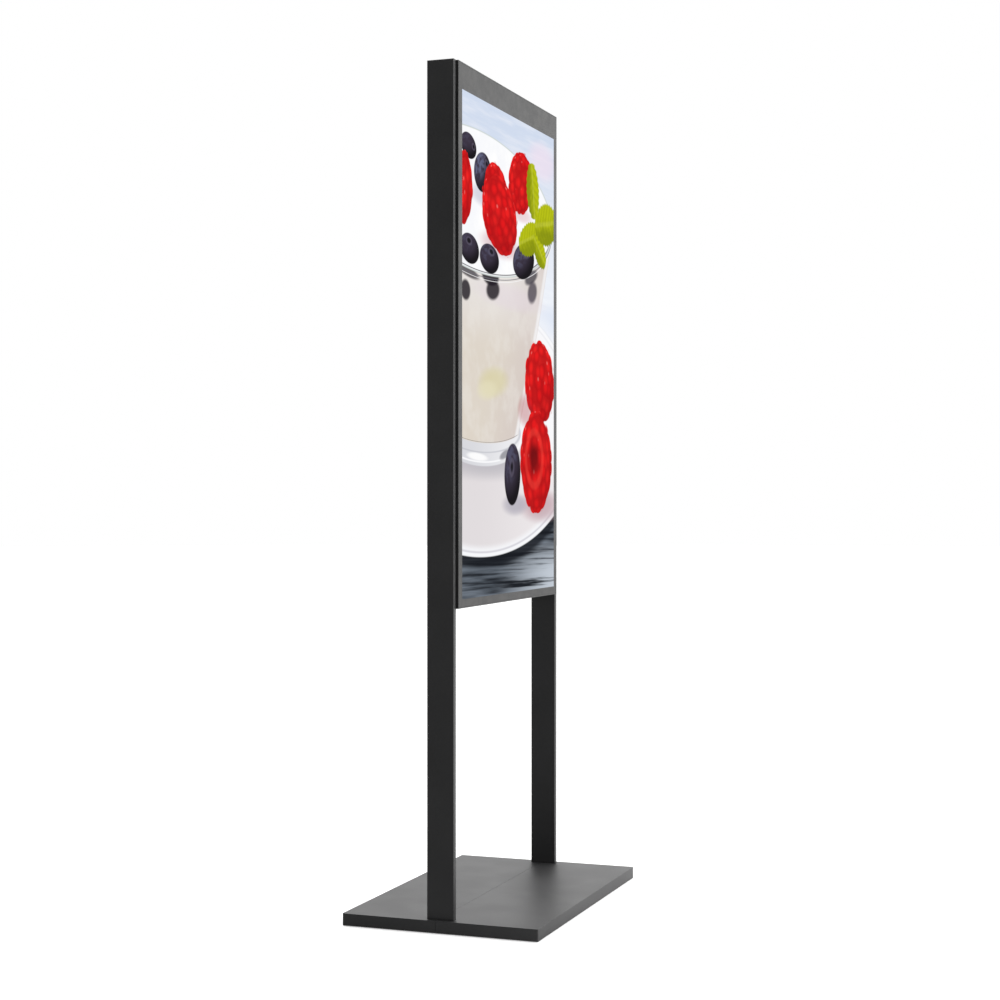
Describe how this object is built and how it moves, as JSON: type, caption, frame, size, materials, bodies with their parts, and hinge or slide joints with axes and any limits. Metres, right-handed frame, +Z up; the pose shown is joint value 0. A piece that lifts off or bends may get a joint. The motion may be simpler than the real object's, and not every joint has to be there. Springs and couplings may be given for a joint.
{
  "type": "free-standing touchscreen kiosk",
  "caption": "Tall portrait touch display held between two flat posts on a wide, low rectangular base, with a rear service door.",
  "frame": {"origin": "centre of the base's footprint, on the floor", "axes": "+Z up, -Y the side that the visitor faces, +X the visitor's right"},
  "size_m": [0.7, 0.44, 1.828],
  "materials": {
    "cover_coat": "fine-textured dark grey powder coat, matt",
    "post_coat": "fine-textured near-black powder coat, matt",
    "frame_coat": "near-black powder coat on aluminium extrusion, satin",
    "rear_coat": "fine-textured near-black powder coat, matt",
    "raw_steel": "oiled rolled steel, dull",
    "zinc": "bright zinc plate",
    "tray_steel": "electro-galvanised sheet, dull",
    "rubber": "matt black rubber",
    "foam": "black foam tape",
    "black_plastic": "fine-grained black moulding",
    "cap_plastic": "matt dark grey moulding",
    "key_plastic": "polished black moulding",
    "front_glass": "toughened clear glass, polished",
    "border_ink": "opaque dark grey printed border seen through glass",
    "film": "clear touch film",
    "picture": "lit picture, smooth",
    "diffuser": "opal sheet",
    "lamp_white": "white reflective board and clear lenses",
    "board_green": "solder-masked circuit board",
    "board_tan": "bare resin circuit board",
    "brass": "turned brass",
    "wire": "black sheathed cable",
    "player_coat": "black anodised casing, satin",
    "socket_metal": "tinned steel shells",
    "lock_metal": "chromed zinc casting"
  },
  "bodies": {
    "stand": {"base_cover_front": "cover_coat", "base_cover_rear": "cover_coat", "ballast_plate": "raw_steel", "base_pads": "rubber", "cover_screws": "zinc", "post_feet": "raw_steel", "foot_bolts": "zinc", "post_left": "post_coat", "post_right": "post_coat", "post_caps": "cap_plastic", "rivet_nuts": "zinc", "mount_plates": "zinc", "mount_bolts": "zinc", "rail_left": "frame_coat", "rail_right": "frame_coat", "rail_top": "frame_coat", "rail_bottom": "frame_coat", "corner_brackets": "zinc", "front_glass": "front_glass", "border_print": "border_ink", "glass_tape": "foam", "touch_film": "film", "lcd_panel": "picture", "panel_holder": "black_plastic", "diffuser_plate": "diffuser", "backlight_tray": "tray_steel", "led_bars": "lamp_white", "small_screws": "zinc", "crossbars": "zinc", "rear_cover_upper": "rear_coat", "rear_cover_lower": "rear_coat", "side_panel_left": "rear_coat", "side_panel_right": "rear_coat", "rear_screws": "zinc", "power_board": "board_tan", "driver_board": "board_green", "touch_controller": "board_green", "standoffs": "brass", "speakers": "black_plastic", "wire_harness": "wire", "player_bracket": "zinc", "media_player": "player_coat", "power_inlet": "black_plastic", "switch_housing": "black_plastic", "data_sockets": "socket_metal", "key_board": "board_green", "hinge_leaves": "rear_coat", "hinge_pins": "zinc"},
    "door": {"door_panel": "rear_coat", "door_leaves": "rear_coat", "lock_body": "lock_metal"},
    "lock": {"lock_cylinder": "lock_metal", "lock_cam": "zinc", "cam_screw": "zinc"},
    "rocker": {"switch_rocker": "key_plastic"},
    "button_power": {"key_power": "key_plastic"},
    "button_up": {"key_up": "key_plastic"},
    "button_down": {"key_down": "key_plastic"},
    "button_menu": {"key_menu": "key_plastic"}
  },
  "joints": [
    {"name": "door_hinge", "type": "hinge", "parent": "stand", "child": "door", "pos_m": [-0.1195, 0.032, 1.15], "axis": [0, 0, 1], "range_deg": [0, 110]},
    {"name": "lock_turn", "type": "hinge", "parent": "door", "child": "lock", "pos_m": [0.095, 0.0245, 1.15], "axis": [0, -1, 0], "range_deg": [0, 90]},
    {"name": "rocker_tilt", "type": "hinge", "parent": "stand", "child": "rocker", "pos_m": [-0.015, 0.0265, 0.73], "axis": [-1, 0, 0], "range_deg": [0, 20]},
    {"name": "power_press", "type": "slide", "parent": "stand", "child": "button_power", "axis": [0, -1, 0], "range_m": [0, 0.001], "stiffness_N_per_m": 300, "springref_m": -0.0006},
    {"name": "up_press", "type": "slide", "parent": "stand", "child": "button_up", "axis": [0, -1, 0], "range_m": [0, 0.001], "stiffness_N_per_m": 300, "springref_m": -0.0006},
    {"name": "down_press", "type": "slide", "parent": "stand", "child": "button_down", "axis": [0, -1, 0], "range_m": [0, 0.001], "stiffness_N_per_m": 300, "springref_m": -0.0006},
    {"name": "menu_press", "type": "slide", "parent": "stand", "child": "button_menu", "axis": [0, -1, 0], "range_m": [0, 0.001], "stiffness_N_per_m": 300, "springref_m": -0.0006}
  ]
}
